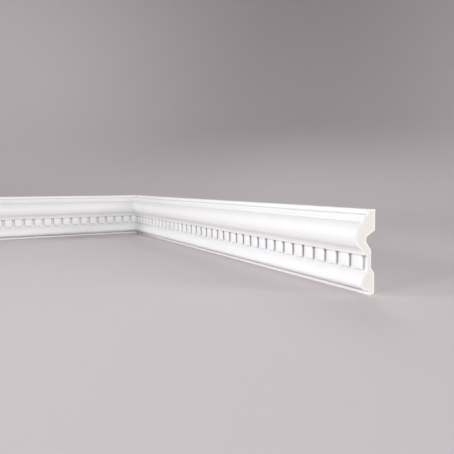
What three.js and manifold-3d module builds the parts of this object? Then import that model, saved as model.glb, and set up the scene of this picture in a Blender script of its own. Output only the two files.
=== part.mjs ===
// A dentil dado moulding turning an inside corner of a room: a long length and a short return,
// each sawn square at its outer end and mitred where they meet. The walls are the planes behind them.

import * as THREE from 'three';
import { mergeVertices } from 'three/addons/utils/BufferGeometryUtils.js';
import Module from 'manifold-3d';

// Lengths along the back, from the room's corner to the square cut
const longLength = 744.4;
const returnLength = 328;
const mitreGap = 0.3;

// Heights of the members of the section, from the underside up
const bottomFilletHeight = 3.6;
const quirkHeight = 0.8;
const lowerTorusUnderside = 7.3;
const lowerTorusFront = 13;
const flatHeight = 2.9;
const dentilHeight = 15.5;
const lipHeight = 0.9;
const coveHeight = 8.2;
const upperTorusUnderside = 11.3;
const upperTorusFront = 15.4;
const thirdFilletHeight = 2.8;
const secondFilletHeight = 4.6;
const topFilletHeight = 5.7;

// How far members stand off the wall, or out beyond the member that they rise from
const bottomFilletDepth = 9.6;
const quirkCut = 1.3;
const bandDepth = 11.6;
const lowerTorusProjection = 8.2;
const dentilProjection = 3.2;
const lipProjection = 1.6;
const topFilletDepth = 12;
const secondFilletStep = 4.4;
const secondFilletRake = 1.4;
const thirdFilletStep = 0.6;
const thirdFilletRake = 0.7;
const upperTorusStep = 0.7;
const upperTorusProjection = 9;
const coveUndercut = 1.2;
const coveSag = 1;

// The rank of dentils
const dentilPitch = 20;
const dentilWidth = 14;
const gapAtCut = 3.8;
const returnDentilStart = 11;

// The hollow along the back, cored so that the wall stays even behind the front
const hollowBelowDentils = 4.5;
const hollowSplay = 5.4;
const hollowOverDentils = 4.7;
const wallBehindDentils = 6.3;
const pocketWall = 12.5;
const pocketDrop = 2.2;
const hollowOverNose = 5.7;

// Eased edges
const frontEdgeRadius = 0.6;
const backEdgeRadius = 1.6;
const hollowEdgeRadius = 1;
const pocketRadius = 5.6;

const facetRise = 0.03; // how far a round stretch may stand off its facets
const root = 0.4; // how deep a dentil is rooted in the run behind and above it
const sawMargin = 2; // how far the mitre's cutter runs past what it cuts

// Levels of the section, above the underside
const lowerTorusLevel = bottomFilletHeight + quirkHeight;
const lowerNoseLevel = lowerTorusLevel + lowerTorusUnderside;
const flatLevel = lowerNoseLevel + lowerTorusFront;
const dentilLevel = flatLevel + flatHeight;
const lipLevel = dentilLevel + dentilHeight;
const coveLevel = lipLevel + lipHeight;
const upperTorusLevel = coveLevel + coveHeight;
const upperNoseLevel = upperTorusLevel + upperTorusUnderside;
const thirdFilletLevel = upperNoseLevel + upperTorusFront;
const secondFilletLevel = thirdFilletLevel + thirdFilletHeight;
const topFilletLevel = secondFilletLevel + secondFilletHeight;
const topLevel = topFilletLevel + topFilletHeight;

// Depths of the section, off the wall
const quirkDepth = bottomFilletDepth - quirkCut;
const lowerNoseDepth = bandDepth + lowerTorusProjection;
const dentilDepth = bandDepth + dentilProjection;
const lipDepth = dentilDepth + lipProjection;
const secondFilletDepth = topFilletDepth + secondFilletStep;
const secondFilletFoot = secondFilletDepth + secondFilletRake;
const thirdFilletDepth = secondFilletFoot + thirdFilletStep;
const thirdFilletFoot = thirdFilletDepth + thirdFilletRake;
const upperTorusDepth = thirdFilletFoot + upperTorusStep;
const upperNoseDepth = upperTorusDepth + upperTorusProjection;
const shelfDepth = bandDepth - wallBehindDentils;

const primedWhite = new THREE.MeshStandardMaterial({ color: '#f4f3f1', roughness: 0.5, metalness: 0 });

const point = (depth, level) => new THREE.Vector2(depth, level);

// Points along an elliptical arc, ends included; equal radii make it round
function arc(centre, depthRadius, levelRadius, from, to) {
  const facet = 2 * Math.acos(1 - facetRise / Math.max(depthRadius, levelRadius));
  const steps = Math.max(2, Math.ceil(Math.abs(to - from) / facet));
  return Array.from({ length: steps + 1 }, (_, step) => {
    const angle = from + ((to - from) * step) / steps;
    return point(centre.x + depthRadius * Math.cos(angle), centre.y + levelRadius * Math.sin(angle));
  });
}

// A corner eased to a radius, or to as much of it as its shorter side has room for
function eased(before, corner, after, wantedRadius) {
  const back = before.clone().sub(corner);
  const on = after.clone().sub(corner);
  const room = Math.min(back.length(), on.length()) / 2;
  const halfAngle = Math.acos(back.normalize().dot(on.normalize())) / 2;
  const radius = Math.min(wantedRadius, room * Math.tan(halfAngle));
  const tangent = radius / Math.tan(halfAngle);
  const bisector = back.clone().add(on).normalize();
  const centre = corner.clone().addScaledVector(bisector, radius / Math.sin(halfAngle));
  const start = corner.clone().addScaledVector(back, tangent).sub(centre).angle();
  const end = corner.clone().addScaledVector(on, tangent).sub(centre).angle();
  const turn = THREE.MathUtils.euclideanModulo(end - start + Math.PI, 2 * Math.PI) - Math.PI;
  return arc(centre, radius, radius, start, start + turn);
}

// The round front of a torus: one radius from a stretch under its nose, over the nose, to its head
function torusFront(nose, head, underside) {
  const projection = nose.x - head.x;
  const rise = head.y - nose.y;
  const radius = (rise * rise + projection * projection) / (2 * projection);
  const low = -Math.asin(Math.min(1, underside / radius));
  return arc(point(nose.x - radius, nose.y), radius, radius, low, Math.asin(rise / radius));
}

// A hollow curve between two points, sagging behind the straight line between them
function hollowCurve(foot, head, sag) {
  const chord = head.clone().sub(foot);
  const half = chord.length() / 2;
  const radius = (half * half + sag * sag) / (2 * sag);
  const outward = point(chord.y, -chord.x).normalize();
  const centre = foot.clone().addScaledVector(chord, 0.5).addScaledVector(outward, radius - sag);
  const middle = outward.negate().angle();
  const halfSweep = Math.asin(half / radius);
  return arc(centre, radius, radius, middle + halfSweep, middle - halfSweep);
}

// The section's face, from the bottom fillet up to the top fillet
function facePoints() {
  const lowerNose = point(lowerNoseDepth, lowerNoseLevel);
  const upperNose = point(upperNoseDepth, upperNoseLevel);
  const underside = arc(
    point(quirkDepth, lowerNoseLevel), lowerNoseDepth - quirkDepth, lowerTorusUnderside, -Math.PI / 2, 0,
  );
  const lowerFront = torusFront(lowerNose, point(bandDepth, flatLevel), 0);
  const upperTorus = torusFront(upperNose, point(upperTorusDepth, thirdFilletLevel), upperTorusUnderside);
  const coveHead = point(upperTorus[0].x - coveUndercut, upperTorusLevel);
  return [
    point(bottomFilletDepth, bottomFilletHeight),
    point(quirkDepth, bottomFilletHeight),
    ...underside,
    ...lowerFront.slice(1),
    point(bandDepth, lipLevel),
    point(lipDepth, lipLevel),
    ...hollowCurve(point(lipDepth, coveLevel), coveHead, coveSag),
    ...upperTorus,
    point(thirdFilletFoot, thirdFilletLevel),
    point(thirdFilletDepth, secondFilletLevel),
    point(secondFilletFoot, secondFilletLevel),
    point(secondFilletDepth, topFilletLevel),
    point(topFilletDepth, topFilletLevel),
  ];
}

// The whole section without its dentils, anticlockwise, with the wall on its left
function section() {
  const face = facePoints();
  const backFoot = point(0, 0);
  const frontFoot = point(bottomFilletDepth, 0);
  const frontHead = point(topFilletDepth, topLevel);
  const backHead = point(0, topLevel);
  const mouthFoot = point(0, dentilLevel - hollowBelowDentils);
  const shelfFoot = point(shelfDepth, mouthFoot.y + hollowSplay);
  const shelfHead = point(shelfDepth, lipLevel + hollowOverDentils);
  const pocket = point(upperNoseDepth - pocketWall, upperNoseLevel - pocketDrop);
  const mouthHead = point(0, upperNoseLevel + hollowOverNose);
  return new THREE.Shape([
    ...eased(mouthFoot, backFoot, frontFoot, backEdgeRadius),
    ...eased(backFoot, frontFoot, face[0], frontEdgeRadius),
    ...face,
    ...eased(face.at(-1), frontHead, backHead, frontEdgeRadius),
    backHead,
    ...eased(backHead, mouthHead, pocket, hollowEdgeRadius),
    ...eased(mouthHead, pocket, shelfHead, pocketRadius),
    ...eased(pocket, shelfHead, shelfFoot, hollowEdgeRadius),
    ...eased(shelfHead, shelfFoot, mouthFoot, hollowEdgeRadius),
    ...eased(shelfFoot, mouthFoot, backFoot, hollowEdgeRadius),
  ]);
}

const wasm = await Module();
wasm.setup();

function solid(geometry) {
  geometry.deleteAttribute('normal');
  geometry.deleteAttribute('uv');
  const merged = mergeVertices(geometry);
  const vertProperties = merged.attributes.position.array;
  const triVerts = Uint32Array.from(merged.index.array);
  return new wasm.Manifold(new wasm.Mesh({ numProp: 3, vertProperties, triVerts }));
}

function meshOf(name, body) {
  const { vertProperties, triVerts } = body.getMesh();
  const indexed = new THREE.BufferGeometry();
  indexed.setAttribute('position', new THREE.BufferAttribute(vertProperties, 3));
  indexed.setIndex(new THREE.BufferAttribute(triVerts, 1));
  const geometry = indexed.toNonIndexed();
  geometry.computeVertexNormals();
  const mesh = new THREE.Mesh(geometry, primedWhite);
  mesh.name = name;
  return mesh;
}

// A block standing on the band, in a run's own axes: depth, level and distance along the run
function dentil(start, width) {
  const depth = dentilProjection + root;
  const height = dentilHeight + root;
  const block = new THREE.BoxGeometry(depth, height, width);
  block.translate(dentilDepth - depth / 2, dentilLevel + height / 2, start + width / 2);
  return solid(block);
}

// What the mitre saw takes away: all that is nearer the corner than it is deep, and half the gap
function mitreWaste(fromCorner) {
  const clearance = mitreGap * Math.SQRT1_2;
  const near = -sawMargin;
  const far = Math.max(upperNoseDepth, lowerNoseDepth) + sawMargin;
  const beyond = -2 * sawMargin;
  const waste = new THREE.ExtrudeGeometry(
    new THREE.Shape([
      point(near, fromCorner(near + clearance)),
      point(near, fromCorner(beyond)),
      point(far, fromCorner(beyond)),
      point(far, fromCorner(far + clearance)),
    ]),
    { depth: topLevel + 2 * sawMargin, bevelEnabled: false },
  );
  waste.rotateX(Math.PI / 2);
  waste.translate(0, topLevel + sawMargin, 0);
  return solid(waste);
}

// One length of moulding: its section drawn along the run, its dentils, and the mitre at one end
function run(length, firstDentil, cornerAtEnd) {
  const fromCorner = (distance) => (cornerAtEnd ? length - distance : distance);
  const lastStart = cornerAtEnd ? length - bandDepth : length;
  let body = solid(new THREE.ExtrudeGeometry(section(), { depth: length, bevelEnabled: false }));
  for (let start = firstDentil; start < lastStart; start += dentilPitch) {
    body = body.add(dentil(start, Math.min(dentilWidth, length - start)));
  }
  return body.subtract(mitreWaste(fromCorner));
}

// The origin is under the middle of the two runs' outer size; the corner is at its +X, +Y corner
const cornerX = returnLength / 2;
const cornerY = longLength / 2;

const longRun = meshOf('long_run', run(longLength, gapAtCut, true));
longRun.rotation.set(Math.PI / 2, 0, Math.PI, 'ZYX');
longRun.position.set(cornerX, cornerY - longLength, 0);

const returnRun = meshOf('return_run', run(returnLength, returnDentilStart, false));
returnRun.rotation.set(Math.PI / 2, 0, -Math.PI / 2, 'ZYX');
returnRun.position.set(cornerX, cornerY, 0);

const moulding = new THREE.Group();
moulding.add(longRun, returnRun);

export default moulding;
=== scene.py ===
import math

import bmesh
import bpy
from mathutils import Matrix, Vector


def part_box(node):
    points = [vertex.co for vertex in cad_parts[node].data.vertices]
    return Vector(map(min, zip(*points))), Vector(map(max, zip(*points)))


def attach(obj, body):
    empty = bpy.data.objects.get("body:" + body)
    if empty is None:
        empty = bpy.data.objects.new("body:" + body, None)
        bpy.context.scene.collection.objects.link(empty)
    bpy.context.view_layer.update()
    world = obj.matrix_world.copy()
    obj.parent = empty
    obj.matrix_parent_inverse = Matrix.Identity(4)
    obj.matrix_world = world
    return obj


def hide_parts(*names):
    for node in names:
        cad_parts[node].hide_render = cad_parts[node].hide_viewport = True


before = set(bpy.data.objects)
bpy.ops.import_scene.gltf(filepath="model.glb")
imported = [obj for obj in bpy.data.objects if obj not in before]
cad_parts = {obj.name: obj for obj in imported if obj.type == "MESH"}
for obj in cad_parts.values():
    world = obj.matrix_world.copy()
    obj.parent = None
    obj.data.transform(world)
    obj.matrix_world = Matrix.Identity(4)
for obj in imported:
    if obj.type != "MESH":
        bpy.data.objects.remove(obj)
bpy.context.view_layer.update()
print("frame loaded")

mm = 0.001  # sizes below are in millimetres, Blender works in metres

longBox = [Vector(corner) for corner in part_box("long_run")]
returnBox = [Vector(corner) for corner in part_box("return_run")]
backX = longBox[1].x  # the long run's flat back, in metres
backY = returnBox[1].y  # the return's flat back
longLength = backY - longBox[0].y
returnLength = backX - returnBox[0].x


def linear(hexText):  # an sRGB hex colour as the linear RGBA that shaders take
    levels = [int(hexText[i:i + 2], 16) / 255 for i in (1, 3, 5)]
    return [c / 12.92 if c <= 0.04045 else ((c + 0.055) / 1.055) ** 2.4 for c in levels] + [1.0]


def addNode(tree, kind, inputs=None, **settings):  # a node, its settings, and its sockets' values or links
    node = tree.nodes.new(kind)
    for name, value in settings.items():
        setattr(node, name, value)
    for socket, value in (inputs or {}).items():
        sources = value if isinstance(value, list) else [value]  # a list of links fills a many-link socket
        if isinstance(sources[0], bpy.types.NodeSocket):
            for source in reversed(sources):
                tree.links.new(source, node.inputs[socket])
        else:
            node.inputs[socket].default_value = value
    return node


mixLow, mixHigh, mixed = 6, 7, 2  # the colour sockets of a Mix node: at factor 0, at factor 1, and the result


# The camera stands where the picture was taken from: before the moulding, with its eye just above the top
camera = {
    "fromCorner": (-386.4, -1086.8),  # mm in x and y from where the backs of the two runs meet
    "height": 118.4,  # mm above the moulding's underside
    "yaw": 29.92,  # degrees to the right of +Y
    "pitch": -2.76,  # degrees, below the level when negative
    "lens": 36.19,  # mm, on the sensor's width below
    "sensor": 36,
    "shift": (0.01, -0.045),
    "clip": (0.01, 30),  # metres
}


def addCamera():
    data = bpy.data.cameras.new("photoView")
    data.sensor_width = camera["sensor"]
    data.lens = camera["lens"]
    data.shift_x, data.shift_y = camera["shift"]
    data.clip_start, data.clip_end = camera["clip"]
    view = bpy.data.objects.new("photoView", data)
    view.location = (
        backX + camera["fromCorner"][0] * mm,
        backY + camera["fromCorner"][1] * mm,
        camera["height"] * mm,
    )
    view.rotation_euler = (math.radians(90 + camera["pitch"]), 0, math.radians(-camera["yaw"]))
    bpy.context.collection.objects.link(view)
    bpy.context.scene.camera = view


addCamera()
print("camera placed")

# The moulding's section in millimetres: heights of its members from the underside up, then depths from
# the flat of the back
section = {
    "bottomFillet": 3.6,
    "quirk": 0.8,
    "lowerUnderside": 7.3,
    "lowerFront": 13,
    "flat": 2.9,
    "dentil": 15.5,
    "lip": 0.9,
    "cove": 8.2,
    "upperUnderside": 11.3,
    "upperFront": 15.4,
    "thirdFillet": 2.8,
    "secondFillet": 4.6,
    "topFillet": 5.7,
    "bottomFilletDepth": 9.6,
    "quirkCut": 1.3,  # how far the quirk is cut back behind the bottom fillet
    "bandDepth": 11.6,  # the flat that the dentils stand on
    "lowerProjection": 8.2,  # the small roll, past the band
    "dentilProjection": 3.2,
    "lipProjection": 1.6,  # past the dentils
    "topFilletDepth": 12,
    "secondStep": 4.4,
    "secondRake": 1.4,  # a raked fillet's foot stands this far before its head
    "thirdStep": 0.6,
    "thirdRake": 0.7,
    "upperStep": 0.7,
    "upperProjection": 9,  # the large roll, past its own head
    "coveUndercut": 1.2,  # how far the cove's head lies behind the roll over it
    "coveSag": 1,
    "facet": 0.006,  # how far a round stretch may stand off its facets
    "ease": 0.3,  # radius of the primed edges and of the primer lying in the inner corners
    "easeFrom": 22,  # corners sharper than this many degrees are eased
}

# The hollow along the back and the edges beside it, in millimetres
hollow = {
    "belowDentils": 4.5,  # from the dentils' foot down to the hollow's mouth
    "splay": 5.4,  # rise of the sloping lower side
    "overDentils": 4.7,
    "behindDentils": 6.3,  # foam left between the flat under the dentils and the shelf
    "behindNose": 12.5,  # foam left behind the large roll's nose
    "pocketDrop": 2.2,
    "overNose": 5.7,
    "edge": 1,  # radius of the hollow's own corners
    "pocketRadius": 5.6,
    "frontEdge": 0.6,
    "backEdge": 1.6,
}


def arc(centre, radii, start, end):  # points along part of an ellipse, both ends included
    step = 2 * math.acos(1 - section["facet"] / max(radii))
    count = max(2, math.ceil(abs(end - start) / step))
    angles = [start + (end - start) * i / count for i in range(count + 1)]
    return [Vector((centre[0] + radii[0] * math.cos(a), centre[1] + radii[1] * math.sin(a))) for a in angles]


def easedCorner(before, corner, after, wanted):  # a rounded corner, at most half its shorter side long
    back, on = before - corner, after - corner
    longest = min(back.length, on.length) / 2
    half = back.angle(on) / 2
    radius = min(wanted, longest * math.tan(half))
    back.normalize()
    on.normalize()
    centre = corner + (back + on).normalized() * radius / math.sin(half)
    first = corner + back * radius / math.tan(half) - centre
    last = corner + on * radius / math.tan(half) - centre
    start = math.atan2(first.y, first.x)
    turn = (math.atan2(last.y, last.x) - start + math.pi) % (2 * math.pi) - math.pi
    return arc(centre, (radius, radius), start, start + turn)


def torusFront(nose, head, underside):  # one radius from under the nose up to the head
    projection, rise = nose.x - head.x, head.y - nose.y
    radius = (rise * rise + projection * projection) / (2 * projection)
    return arc(
        (nose.x - radius, nose.y), (radius, radius), -math.asin(underside / radius), math.asin(rise / radius)
    )


def hollowCurve(foot, head, sag):  # an arc from foot to head that sinks in by the sag
    chord = head - foot
    half = chord.length / 2
    radius = (half * half + sag * sag) / (2 * sag)
    outward = Vector((chord.y, -chord.x)).normalized()
    centre = foot + chord / 2 + outward * (radius - sag)
    middle = math.atan2(-outward.y, -outward.x)
    sweep = math.asin(half / radius)
    return arc(centre, (radius, radius), middle + sweep, middle - sweep)


def sectionLevels():  # running heights of the members' feet
    names = [
        "bottomFillet", "quirk", "lowerUnderside", "lowerFront", "flat", "dentil", "lip", "cove",
        "upperUnderside", "upperFront", "thirdFillet", "secondFillet", "topFillet",
    ]
    level, levels = 0, {}
    for name in names:
        levels[name] = level
        level += section[name]
    levels["top"] = level
    return levels


def sectionOutline():  # points of the section, anticlockwise: x is depth from the back and y is height
    at = sectionLevels()
    s = section

    def point(depth, level):
        return Vector((depth, level))

    lowerNose = point(s["bandDepth"] + s["lowerProjection"], at["lowerFront"])
    quirkDepth = s["bottomFilletDepth"] - s["quirkCut"]
    lipDepth = s["bandDepth"] + s["dentilProjection"] + s["lipProjection"]
    secondDepth = s["topFilletDepth"] + s["secondStep"]
    secondFoot = secondDepth + s["secondRake"]
    thirdDepth = secondFoot + s["thirdStep"]
    thirdFoot = thirdDepth + s["thirdRake"]
    upperHead = point(thirdFoot + s["upperStep"], at["thirdFillet"])
    upperNose = point(upperHead.x + s["upperProjection"], at["upperFront"])
    upper = torusFront(upperNose, upperHead, s["upperUnderside"])
    coveHead = point(upper[0].x - s["coveUndercut"], at["upperUnderside"])
    face = [
        point(s["bottomFilletDepth"], at["quirk"]),
        point(quirkDepth, at["quirk"]),
        *arc((quirkDepth, lowerNose.y), (lowerNose.x - quirkDepth, s["lowerUnderside"]), -math.pi / 2, 0),
        *torusFront(lowerNose, point(s["bandDepth"], at["flat"]), 0)[1:],
        point(s["bandDepth"], at["lip"]),
        point(lipDepth, at["lip"]),
        *hollowCurve(point(lipDepth, at["cove"]), coveHead, s["coveSag"]),
        *upper,
        point(thirdFoot, at["thirdFillet"]),
        point(thirdDepth, at["secondFillet"]),
        point(secondFoot, at["secondFillet"]),
        point(secondDepth, at["topFillet"]),
        point(s["topFilletDepth"], at["topFillet"]),
    ]
    backFoot, frontFoot = point(0, 0), point(s["bottomFilletDepth"], 0)
    backHead, frontHead = point(0, at["top"]), point(s["topFilletDepth"], at["top"])
    mouthFoot = point(0, at["dentil"] - hollow["belowDentils"])
    shelfFoot = point(s["bandDepth"] - hollow["behindDentils"], mouthFoot.y + hollow["splay"])
    shelfHead = point(shelfFoot.x, at["lip"] + hollow["overDentils"])
    pocket = point(upperNose.x - hollow["behindNose"], upperNose.y - hollow["pocketDrop"])
    mouthHead = point(0, upperNose.y + hollow["overNose"])
    edge = hollow["edge"]
    return [
        *easedCorner(mouthFoot, backFoot, frontFoot, hollow["backEdge"]),
        *easedCorner(backFoot, frontFoot, face[0], hollow["frontEdge"]),
        *easeAll(face, frontFoot, frontHead),
        *easedCorner(face[-1], frontHead, backHead, hollow["frontEdge"]),
        *easedCorner(frontHead, backHead, mouthHead, section["ease"]),
        *easedCorner(backHead, mouthHead, pocket, edge),
        *easedCorner(mouthHead, pocket, shelfHead, hollow["pocketRadius"]),
        *easedCorner(pocket, shelfHead, shelfFoot, edge),
        *easedCorner(shelfHead, shelfFoot, mouthFoot, edge),
        *easedCorner(shelfFoot, mouthFoot, backFoot, edge),
    ]


def easeAll(points, before, after):  # rounds each sharp corner of a stretch of the outline
    chain = [before, *points, after]
    eased = []
    for previous, corner, following in zip(chain, chain[1:], chain[2:]):
        turn = math.degrees((corner - previous).angle(following - corner))
        if turn > section["easeFrom"]:
            eased += easedCorner(previous, corner, following, section["ease"])
        else:
            eased.append(corner)
    return eased


outline = sectionOutline()
print("section drawn,", len(outline), "points")


skin = {
    "thickness": 1.6,  # mm of dense white skin that shows round the cream core at a saw cut
    "sampling": 0.25,  # mm between the points that are moved inwards
    "trim": 0.985,  # share of the thickness that a moved point has to stay clear of the outline
}


def insetOutline(points, depth):  # the outline moved inwards; what comes nearer than the depth is trimmed off
    spread = []
    for start, end in zip(points, points[1:] + points[:1]):
        count = max(1, math.ceil((end - start).length / skin["sampling"]))
        spread += [(start.lerp(end, i / count), (end - start).normalized()) for i in range(count)]
    kept = []
    for place, along in spread:
        inner = place + Vector((-along.y, along.x)) * depth
        nearest = min((inner - other).length_squared for other, _ in spread)
        if nearest > (depth * skin["trim"]) ** 2:
            kept.append(inner)
    return kept


core = insetOutline(outline, skin["thickness"])
print("core drawn,", len(core), "points")


def curveObject(name, points):  # a closed poly curve, in metres
    data = bpy.data.curves.new(name, "CURVE")
    data.dimensions = "3D"
    spline = data.splines.new("POLY")
    spline.points.add(len(points) - 1)
    for target, place in zip(spline.points, points):
        target.co = (place.x * mm, place.y * mm, 0, 1)
    spline.use_cyclic_u = True
    made = bpy.data.objects.new(name, data)
    bpy.context.collection.objects.link(made)
    return made


dentil = {
    "width": 14,  # mm, as all sizes here
    "pitch": 20,
    "firstOnLong": 3.8,  # from the square cut
    "firstOnReturn": 11,  # from the corner
    "root": 0.4,  # how deep a dentil is set into the run
    "edge": 0.45,  # radius of its edges
    "edgeSegments": 3,
    "edgeProfile": 0.5,  # a plain round
}


def dentilBlock():  # one dentil with eased edges, centred on its own length, in a run's axes
    at = sectionLevels()
    depth = section["dentilProjection"] + dentil["root"]
    height = section["dentil"] + dentil["root"]
    mesh = bpy.data.meshes.new("dentilBlock")
    shape = bmesh.new()
    bmesh.ops.create_cube(shape, size=1)
    bmesh.ops.scale(shape, vec=Vector((depth, height, dentil["width"])) * mm, verts=shape.verts)
    bmesh.ops.bevel(
        shape, geom=shape.edges[:], offset=dentil["edge"] * mm, segments=dentil["edgeSegments"],
        profile=dentil["edgeProfile"], affect="EDGES",
    )
    front = section["bandDepth"] + section["dentilProjection"]
    middle = Vector((front - depth / 2, at["dentil"] + height / 2, 0)) * mm
    bmesh.ops.translate(shape, vec=middle, verts=shape.verts)
    shape.to_mesh(mesh)
    shape.free()
    made = bpy.data.objects.new("dentilBlock", mesh)
    bpy.context.collection.objects.link(made)
    return made


run = {
    "mitreGap": 0.3,  # mm between the two mitred ends
    "weld": 0.001,  # mm, the distance at which the caps join the sweep
    "smoothUnder": 24,  # degrees; a sharper edge stays crisp
}


def runTree():  # sweeps the section along a run, caps it, sets its dentils on it and cuts the mitre
    tree = bpy.data.node_groups.new("mouldingRun", "GeometryNodeTree")
    kinds = {
        "Outline": "NodeSocketObject",
        "Core": "NodeSocketObject",
        "Dentil": "NodeSocketObject",
        "Length": "NodeSocketFloat",
        "Pitch": "NodeSocketFloat",
        "Dentil width": "NodeSocketFloat",
        "First dentil": "NodeSocketFloat",
        "Dentils": "NodeSocketInt",
        "Mitre at start": "NodeSocketFloat",
        "Mitre at end": "NodeSocketFloat",
        "Mitre clearance": "NodeSocketFloat",
        "Skin": "NodeSocketMaterial",
        "Foam": "NodeSocketMaterial",
    }
    for name, kind in kinds.items():
        tree.interface.new_socket(name, in_out="INPUT", socket_type=kind)
    tree.interface.new_socket("Mesh", in_out="OUTPUT", socket_type="NodeSocketGeometry")
    given = addNode(tree, "NodeGroupInput").outputs

    # The outline, drawn on X and Y, is swept along Z
    outer = addNode(tree, "GeometryNodeObjectInfo", {"Object": given["Outline"]}).outputs["Geometry"]
    inner = addNode(tree, "GeometryNodeObjectInfo", {"Object": given["Core"]}).outputs["Geometry"]
    farEnd = addNode(tree, "ShaderNodeCombineXYZ", {"Z": given["Length"]}).outputs[0]
    path = addNode(tree, "GeometryNodeCurvePrimitiveLine", {"Start": (0, 0, 0), "End": farEnd}).outputs[0]
    tube = addNode(tree, "GeometryNodeCurveToMesh", {"Curve": path, "Profile Curve": outer}).outputs[0]
    tubeSkin = addNode(
        tree, "GeometryNodeSetMaterial", {"Geometry": tube, "Material": given["Skin"]}
    ).outputs[0]

    # Each end is capped by a ring of skin round the foam, and welded to the sweep
    bothLines = addNode(tree, "GeometryNodeJoinGeometry", {0: [outer, inner]}).outputs[0]
    ring = addNode(tree, "GeometryNodeFillCurve", {"Curve": bothLines}).outputs[0]
    ringSkin = addNode(
        tree, "GeometryNodeSetMaterial", {"Geometry": ring, "Material": given["Skin"]}
    ).outputs[0]
    middle = addNode(tree, "GeometryNodeFillCurve", {"Curve": inner}).outputs[0]
    middleFoam = addNode(
        tree, "GeometryNodeSetMaterial", {"Geometry": middle, "Material": given["Foam"]}
    ).outputs[0]
    cap = addNode(tree, "GeometryNodeJoinGeometry", {0: [ringSkin, middleFoam]}).outputs[0]
    startCap = addNode(tree, "GeometryNodeFlipFaces", {"Mesh": cap}).outputs[0]
    endCap = addNode(tree, "GeometryNodeTransform", {"Geometry": cap, "Translation": farEnd}).outputs[0]
    shell = addNode(tree, "GeometryNodeJoinGeometry", {0: [tubeSkin, startCap, endCap]}).outputs[0]
    bar = addNode(
        tree, "GeometryNodeMergeByDistance", {"Geometry": shell, "Distance": run["weld"] * mm}
    ).outputs[0]

    # The dentils stand in a row by their pitch, from half a width past where the first one starts
    firstMiddle = addNode(
        tree, "ShaderNodeMath", {0: given["Dentil width"], 1: 0.5, 2: given["First dentil"]},
        operation="MULTIPLY_ADD",
    ).outputs[0]
    rowStart = addNode(tree, "ShaderNodeCombineXYZ", {"Z": firstMiddle}).outputs[0]
    rowStep = addNode(tree, "ShaderNodeCombineXYZ", {"Z": given["Pitch"]}).outputs[0]
    row = addNode(
        tree, "GeometryNodeMeshLine",
        {"Count": given["Dentils"], "Start Location": rowStart, "Offset": rowStep},
    ).outputs[0]
    block = addNode(tree, "GeometryNodeObjectInfo", {"Object": given["Dentil"]}).outputs["Geometry"]
    rank = addNode(tree, "GeometryNodeInstanceOnPoints", {"Points": row, "Instance": block}).outputs[0]
    blocks = addNode(tree, "GeometryNodeRealizeInstances", {"Geometry": rank}).outputs[0]
    blocksSkin = addNode(
        tree, "GeometryNodeSetMaterial", {"Geometry": blocks, "Material": given["Skin"]}
    ).outputs[0]

    # What lies past a mitre's plane slides back onto it; depth is X, so the planes slope with X
    position = addNode(tree, "GeometryNodeInputPosition").outputs[0]
    place = addNode(tree, "ShaderNodeSeparateXYZ", {0: position}).outputs
    reach = addNode(
        tree, "ShaderNodeMath", {0: place["X"], 1: given["Mitre clearance"]}, operation="ADD"
    ).outputs[0]
    low = addNode(
        tree, "ShaderNodeMath", {0: reach, 1: given["Mitre at start"]}, operation="MULTIPLY"
    ).outputs[0]
    lost = addNode(
        tree, "ShaderNodeMath", {0: reach, 1: given["Mitre at end"]}, operation="MULTIPLY"
    ).outputs[0]
    high = addNode(
        tree, "ShaderNodeMath", {0: given["Length"], 1: lost}, operation="SUBTRACT"
    ).outputs[0]
    held = addNode(tree, "ShaderNodeClamp", {"Value": place["Z"], "Min": low, "Max": high}).outputs[0]
    moved = addNode(
        tree, "ShaderNodeCombineXYZ", {"X": place["X"], "Y": place["Y"], "Z": held}
    ).outputs[0]
    mitredBar, mitredBlocks = (
        addNode(tree, "GeometryNodeSetPosition", {"Geometry": part, "Position": moved}).outputs[0]
        for part in (bar, blocksSkin)
    )
    union = addNode(
        tree, "GeometryNodeMeshBoolean", {"Mesh": [mitredBar, mitredBlocks]},
        operation="UNION", solver="MANIFOLD",
    ).outputs[0]
    addNode(tree, "NodeGroupOutput", {0: union})
    return tree


primedSkin = {
    "white": "#f4f5f6",
    "thin": "#eeeff0",  # where less primer was sprayed
    "thinPatch": 55,  # mm across
    "thinDetail": 3,
    "thinRoughness": 0.5,
    "corner": "#989a9d",  # grey painted in as shade deep in an inner corner, where little light reaches
    "paintedShadeReach": ((0, 1), (3.4, 3), (28.4, 4.6), (43.4, 3)),  # mm: from this height up, the painted shade's reach
    "paintedShadeRange": (0.4, 0.86),  # open share of the view from a point: fully in painted shade, and clear of it
    "paintedShadeSamples": 16,
    "stipple": 1.5,  # mm, about three times the real size, which would not show
    "stippleDetail": 2,
    "stippleRoughness": 0.6,
    "stippleHeight": 0.05,  # mm
    "stippleStrength": 0.5,
    "roughness": (0.42, 0.55),
    "ior": 1.49,
}


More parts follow.
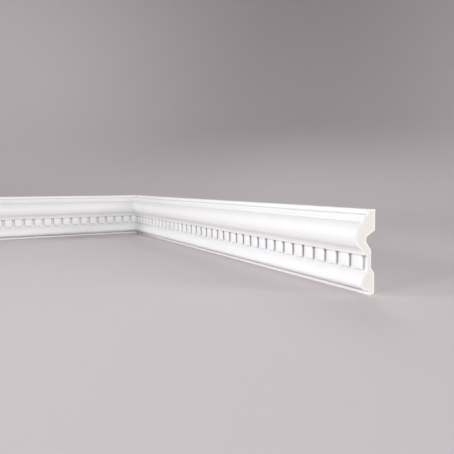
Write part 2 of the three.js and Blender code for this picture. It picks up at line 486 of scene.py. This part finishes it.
def primerMaterial():
    # Satin white primer sprayed over moulded polyurethane: an even white that goes a little thinner in
    # wide soft patches, with painted shade greying it deep in the inner corners, which draws the members'
    # lines, under a faint orange-peel stipple that breaks up its sheen
    material = bpy.data.materials.new("sprayedPrimer")
    material.use_nodes = True
    tree = material.node_tree
    tree.nodes.clear()
    place = addNode(tree, "ShaderNodeTexCoord").outputs["Object"]
    patches = addNode(
        tree, "ShaderNodeTexNoise",
        {
            "Vector": place, "Scale": 1 / (primedSkin["thinPatch"] * mm),
            "Detail": primedSkin["thinDetail"], "Roughness": primedSkin["thinRoughness"],
        },
    ).outputs[0]
    colour = addNode(
        tree, "ShaderNodeMix",
        {0: patches, mixLow: linear(primedSkin["white"]), mixHigh: linear(primedSkin["thin"])},
        data_type="RGBA",
    ).outputs[mixed]

    # How far the painted corner shade reaches at each height of the section
    sectionTop = sectionLevels()["top"]
    height = addNode(tree, "ShaderNodeSeparateXYZ", {"Vector": place}).outputs["Z"]
    upSection = addNode(
        tree, "ShaderNodeMath", {0: height, 1: sectionTop * mm}, operation="DIVIDE"
    ).outputs[0]
    steps = addNode(tree, "ShaderNodeValToRGB", {"Fac": upSection})
    stops = steps.color_ramp.elements
    steps.color_ramp.interpolation = "CONSTANT"
    stops.remove(stops[1])  # a new ramp has two stops, and the first stays as the lowest
    longest = max(reach for foot, reach in primedSkin["paintedShadeReach"])
    for foot, reach in primedSkin["paintedShadeReach"]:
        stop = stops.new(foot / sectionTop) if foot else stops[0]
        stop.color = (reach / longest,) * 3 + (1,)
    distance = addNode(
        tree, "ShaderNodeMath", {0: steps.outputs["Color"], 1: longest * mm}, operation="MULTIPLY"
    ).outputs[0]
    # Painted shade: the less of the view a point has open, the more of the corner grey goes into its colour
    openness = addNode(
        tree, "ShaderNodeAmbientOcclusion", {"Distance": distance},
        samples=primedSkin["paintedShadeSamples"], only_local=True,
    ).outputs["AO"]
    shaded, clearFrom = primedSkin["paintedShadeRange"]
    clear = addNode(
        tree, "ShaderNodeMapRange", {"Value": openness, "From Min": shaded, "From Max": clearFrom}
    ).outputs[0]
    coatWithPaintedShade = addNode(
        tree, "ShaderNodeMix", {0: clear, mixLow: linear(primedSkin["corner"]), mixHigh: colour},
        data_type="RGBA",
    ).outputs[mixed]

    stipple = addNode(
        tree, "ShaderNodeTexNoise",
        {
            "Vector": place, "Scale": 1 / (primedSkin["stipple"] * mm),
            "Detail": primedSkin["stippleDetail"], "Roughness": primedSkin["stippleRoughness"],
        },
    ).outputs[0]
    glossiest, dullest = primedSkin["roughness"]
    gloss = addNode(
        tree, "ShaderNodeMapRange", {"Value": stipple, "To Min": glossiest, "To Max": dullest}
    ).outputs[0]
    bump = addNode(
        tree, "ShaderNodeBump",
        {
            "Height": stipple, "Strength": primedSkin["stippleStrength"],
            "Distance": primedSkin["stippleHeight"] * mm,
        },
    ).outputs[0]
    surface = addNode(
        tree, "ShaderNodeBsdfPrincipled",
        {"Base Color": coatWithPaintedShade, "Roughness": gloss, "Normal": bump, "IOR": primedSkin["ior"]},
    ).outputs[0]
    addNode(tree, "ShaderNodeOutputMaterial", {"Surface": surface})
    return material


foamCore = {
    "cream": "#e9e9e2",
    "shade": "#dedcd3",
    "cell": 0.9,  # mm, some four times the real cells, which would not show
    "cellDepth": 0.12,  # mm
    "cellStrength": 0.6,
    "sawPitch": 3,  # mm between the blade's deeper marks; the finest would not show
    "sawDepth": 0.05,  # mm
    "sawStrength": 0.5,
    "sawWander": 1.5,  # how far the marks stray from straight
    "sawDetail": 2,
    "roughness": 0.85,
    "ior": 1.4,
}


def foamMaterial():
    # Closed-cell polyurethane laid bare by the saw: dull cream, pitted by its cells, with the blade's
    # shallow parallel scratches across it
    material = bpy.data.materials.new("sawnFoam")
    material.use_nodes = True
    tree = material.node_tree
    tree.nodes.clear()
    place = addNode(tree, "ShaderNodeTexCoord").outputs["Object"]
    cells = addNode(
        tree, "ShaderNodeTexVoronoi", {"Vector": place, "Scale": 1 / (foamCore["cell"] * mm)}
    ).outputs["Distance"]
    colour = addNode(
        tree, "ShaderNodeMix",
        {0: cells, mixLow: linear(foamCore["shade"]), mixHigh: linear(foamCore["cream"])},
        data_type="RGBA",
    ).outputs[mixed]
    sawTurn = 10 * math.sqrt(2)  # radians that a diagonal wave of scale 1 turns in a metre of cut face
    scratches = addNode(
        tree, "ShaderNodeTexWave",
        {
            "Vector": place, "Scale": 2 * math.pi / (sawTurn * foamCore["sawPitch"] * mm),
            "Distortion": foamCore["sawWander"], "Detail": foamCore["sawDetail"],
        },
        bands_direction="DIAGONAL",
    ).outputs[1]
    pitted = addNode(
        tree, "ShaderNodeBump",
        {
            "Height": cells, "Strength": foamCore["cellStrength"],
            "Distance": foamCore["cellDepth"] * mm,
        },
    ).outputs[0]
    scratched = addNode(
        tree, "ShaderNodeBump",
        {
            "Height": scratches, "Strength": foamCore["sawStrength"],
            "Distance": foamCore["sawDepth"] * mm, "Normal": pitted,
        },
    ).outputs[0]
    surface = addNode(
        tree, "ShaderNodeBsdfPrincipled",
        {
            "Base Color": colour, "Roughness": foamCore["roughness"], "Normal": scratched,
            "IOR": foamCore["ior"],
        },
    ).outputs[0]
    addNode(tree, "ShaderNodeOutputMaterial", {"Surface": surface})
    return material


def buildRun(name, tree, shared, own, toWorld):  # one run as a plain mesh, from the tree's inputs
    host = bpy.data.objects.new(name, bpy.data.meshes.new(name))
    bpy.context.collection.objects.link(host)
    front = (section["bandDepth"] + section["dentilProjection"]) * mm
    cut = front + shared["Mitre clearance"] if own["Mitre at end"] else 0
    count = math.ceil((own["Length"] - cut - own["First dentil"]) / shared["Pitch"])
    settings = {**shared, **own, "Dentils": count}
    modifier = host.modifiers.new("mouldingRun", "NODES")
    modifier.node_group = tree
    for item in tree.interface.items_tree:
        if item.in_out == "INPUT":
            modifier[item.identifier] = settings[item.name]
    host.update_tag()
    evaluated = host.evaluated_get(bpy.context.evaluated_depsgraph_get())
    mesh = bpy.data.meshes.new_from_object(evaluated)
    host.modifiers.clear()
    mesh.name = name
    mesh.transform(toWorld)
    mesh.shade_smooth()
    mesh.set_sharp_from_angle(angle=math.radians(run["smoothUnder"]))
    host.data = mesh
    print(name, "made,", len(mesh.polygons), "faces,", count, "dentils")
    return host


helpers = {
    "Outline": curveObject("sectionOutline", outline),
    "Core": curveObject("coreOutline", core),
    "Dentil": dentilBlock(),
}
mouldingTree = runTree()
shared = {
    **helpers,
    "Pitch": dentil["pitch"] * mm,
    "Dentil width": dentil["width"] * mm,
    "Mitre clearance": run["mitreGap"] / math.sqrt(2) * mm,  # what each run gives up along itself
    "Skin": primerMaterial(),
    "Foam": foamMaterial(),
}
longOwn = {
    "Length": longLength,
    "First dentil": dentil["firstOnLong"] * mm,
    "Mitre at start": 0.0,  # 1 for a mitred end, 0 for a square cut
    "Mitre at end": 1.0,
}
returnOwn = {
    "Length": returnLength,
    "First dentil": dentil["firstOnReturn"] * mm,
    "Mitre at start": 1.0,
    "Mitre at end": 0.0,
}
print("section, dentil and finishes ready")

# From a run's axes, depth, height and length, to the frame's
longToWorld = Matrix(((-1, 0, 0, backX), (0, 0, 1, backY - longLength), (0, 1, 0, 0), (0, 0, 0, 1)))
returnToWorld = Matrix(((0, 0, -1, backX), (-1, 0, 0, backY), (0, 1, 0, 0), (0, 0, 0, 1)))
longRun = buildRun("longRunMoulding", mouldingTree, shared, longOwn, longToWorld)
returnRun = buildRun("returnRunMoulding", mouldingTree, shared, returnOwn, returnToWorld)
for helper in helpers.values():
    bpy.data.objects.remove(helper)

for piece, node in ((longRun, "long_run"), (returnRun, "return_run")):
    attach(piece, "root")
    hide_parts(node)
print("moulding finished")

# The floor and the light, with distances in metres
studio = {
    "floor": "#d9d2d4",
    "floorRoughness": 0.9,
    "floorSpecular": 0.2,
    "flatRadius": 1.3,
    "innerRing": 0.5,  # share of the flat's radius
    "backdropRadius": 3.4,
    "backdropHeight": 2.5,
    "bendSteps": 32,
    "around": 128,
    "world": "#ffffff",
    "worldStrength": 0.30,
    "exposure": 0,
}


def addStage():  # a pale floor that curves up into a backdrop all round
    steps, around = studio["bendSteps"], studio["around"]
    bend = studio["backdropRadius"] - studio["flatRadius"]
    profile = [(studio["flatRadius"] * studio["innerRing"], 0)]
    profile += [
        (studio["flatRadius"] + bend * math.sin(a), bend - bend * math.cos(a))
        for a in (math.pi / 2 * i / steps for i in range(steps + 1))
    ]
    profile.append((studio["backdropRadius"], studio["backdropHeight"]))
    turns = [2 * math.pi * k / around for k in range(around)]
    rings = [[(r * math.cos(a), r * math.sin(a), z) for a in turns] for r, z in profile]
    shape = bmesh.new()
    rows = [[shape.verts.new(place) for place in ring] for ring in rings]
    shape.faces.new(rows[0])
    for lower, upper in zip(rows, rows[1:]):
        for k in range(around):
            shape.faces.new((lower[k], lower[k - 1], upper[k - 1], upper[k]))
    mesh = bpy.data.meshes.new("studioFloor")
    shape.to_mesh(mesh)
    shape.free()
    mesh.shade_smooth()
    floor = bpy.data.objects.new("studioFloor", mesh)
    bpy.context.collection.objects.link(floor)
    paper = bpy.data.materials.new("backdropPaper")
    paper.use_nodes = True
    surface = paper.node_tree.nodes["Principled BSDF"]
    surface.inputs["Base Color"].default_value = linear(studio["floor"])
    surface.inputs["Roughness"].default_value = studio["floorRoughness"]
    surface.inputs["Specular IOR Level"].default_value = studio["floorSpecular"]
    mesh.materials.append(paper)


# Round soft lamps: where each stands, what it looks at, its size and watts, and its spread in degrees
lights = {
    "leftKey": {
        "from": (-1.75, 0.75, 0.65), "at": (0.16, -0.1, 0.05), "size": 0.6, "watts": 2.42, "spread": 70,
    },
    "nearKey": {
        "from": (-1.3, -0.45, 0.45), "at": (0.16, -0.3, 0.05), "size": 0.4, "watts": 0.9, "spread": 70,
    },
    "frontFill": {
        "from": (-0.5, -2.1, 0.55), "at": (0, 0.3, 0.05), "size": 0.5, "watts": 3.8, "spread": 80,
    },
    "frontHigh": {
        "from": (-0.3, -1.3, 1.9), "at": (0, 0.3, 0.05), "size": 0.6, "watts": 0.8, "spread": 120,
    },
    "cutEnd": {
        "from": (1.55, -1.8, 0.7), "at": (0.15, -0.2, 0.05), "size": 0.5, "watts": 1.45, "spread": 60,
    },
    "back": {"from": (1.7, 1.7, 1.6), "at": (0.1, 0, 0.05), "size": 1.2, "watts": 7, "spread": 120},
    "washEast": {"from": (1.6, 0, 2), "at": (3.3, 0, 0.7), "size": 1, "watts": 6, "spread": 150},
    "washNorth": {"from": (0, 1.6, 2), "at": (0, 3.3, 0.7), "size": 1, "watts": 6, "spread": 150},
    "washWest": {"from": (-1.6, 0, 2), "at": (-3.3, 0, 0.7), "size": 1, "watts": 6, "spread": 150},
    "washSouth": {"from": (0, -1.6, 2), "at": (0, -3.3, 0.7), "size": 1, "watts": 6, "spread": 150},
}


def addLights():
    for name, light in lights.items():
        data = bpy.data.lights.new(name, "AREA")
        data.shape = "DISK"
        data.size = light["size"]
        data.energy = light["watts"]
        data.spread = math.radians(light["spread"])
        lamp = bpy.data.objects.new(name, data)
        lamp.location = light["from"]
        aim = Vector(light["at"]) - lamp.location
        lamp.rotation_euler = aim.to_track_quat("-Z", "Y").to_euler()
        lamp.visible_camera = False
        bpy.context.collection.objects.link(lamp)
    world = bpy.data.worlds.new("softStudio")
    world.use_nodes = True
    sky = world.node_tree.nodes["Background"]
    sky.inputs["Color"].default_value = linear(studio["world"])
    sky.inputs["Strength"].default_value = studio["worldStrength"]
    bpy.context.scene.world = world
    bpy.context.scene.view_settings.view_transform = "Standard"
    bpy.context.scene.view_settings.exposure = studio["exposure"]


addStage()
addLights()
print("studio lit")
